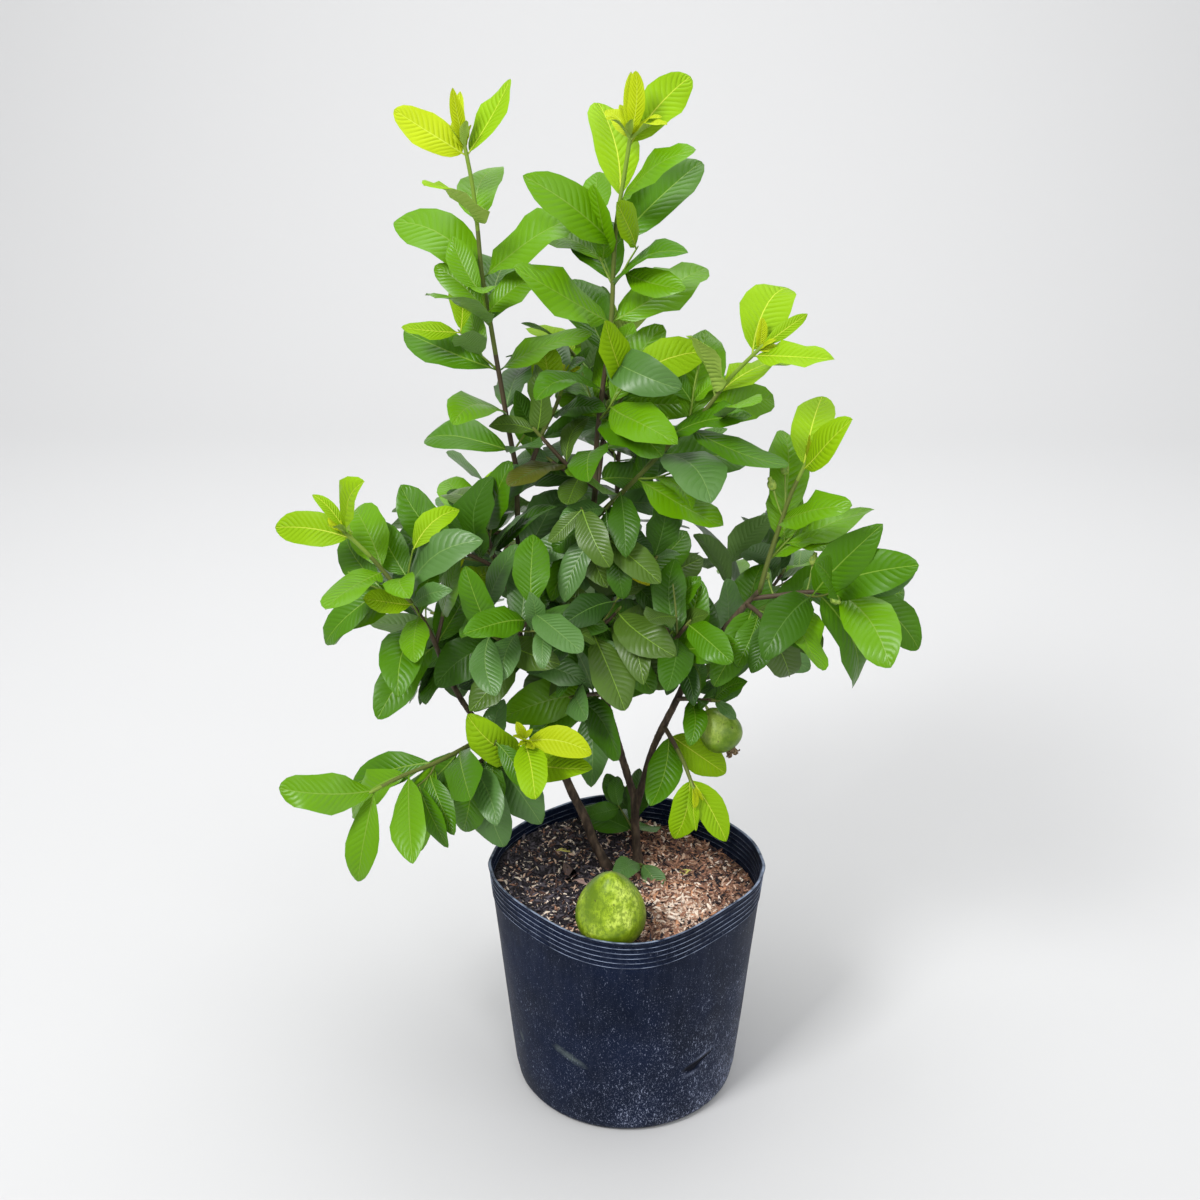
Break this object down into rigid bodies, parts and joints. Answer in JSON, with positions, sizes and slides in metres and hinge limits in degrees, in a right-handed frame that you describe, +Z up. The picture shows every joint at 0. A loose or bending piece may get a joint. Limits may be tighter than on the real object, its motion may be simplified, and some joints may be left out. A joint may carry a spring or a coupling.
{
  "type": "potted guava tree",
  "caption": "Young guava tree with two stems, ascending leafy shoots and green fruit, in a tapered soft black nursery pot filled with potting mix.",
  "frame": {"origin": "centre of the pot's flat underside", "axes": "+Z up along the pot's axis towards the crown, -Y towards the side seen from the front, +X to the right of it"},
  "size_m": [0.6531, 0.4938, 1.1007],
  "materials": {
    "film": "thick black nursery film with a dull sheen, dusty and scuffed",
    "mix": "loose husks and coir, dark on one side and rust brown on the other",
    "bark": "smooth dark brown bark with fine ridges",
    "leaf": "mature green leaves with impressed veins and a soft sheen",
    "fruit": "waxy lime green skin, finely mottled"
  },
  "bodies": {
    "root": {"pot": "film", "potting_mix": "mix", "left_stem": "bark", "right_stem": "bark", "upper_left_bough": "bark", "left_bough": "bark", "centre_bough": "bark", "leader_bough": "bark", "right_bough": "bark", "back_left_bough": "bark", "back_bough": "bark", "back_right_bough": "bark", "tall_left_foliage": "leaf", "tall_centre_foliage": "leaf", "upper_right_foliage": "leaf", "right_top_foliage": "leaf", "right_outer_foliage": "leaf", "left_outer_foliage": "leaf", "left_low_foliage": "leaf", "front_foliage": "leaf", "front_left_foliage": "leaf", "low_right_foliage": "leaf", "fruit_foliage": "leaf", "right_middle_foliage": "leaf", "low_centre_foliage": "leaf", "upper_front_foliage": "leaf", "tall_left_side_foliage": "leaf", "inner_left_foliage": "leaf", "middle_left_foliage": "leaf", "left_up_foliage": "leaf", "middle_centre_foliage": "leaf", "inner_right_foliage": "leaf", "middle_right_foliage": "leaf", "leader_left_foliage": "leaf", "leader_back_foliage": "leaf", "back_left_foliage": "leaf", "back_foliage": "leaf", "back_right_foliage": "leaf", "low_back_left_foliage": "leaf", "low_back_right_foliage": "leaf", "low_back_foliage": "leaf", "stem_foliage": "leaf", "foot_foliage": "leaf", "loose_guava": "fruit"}
  },
  "joints": []
}
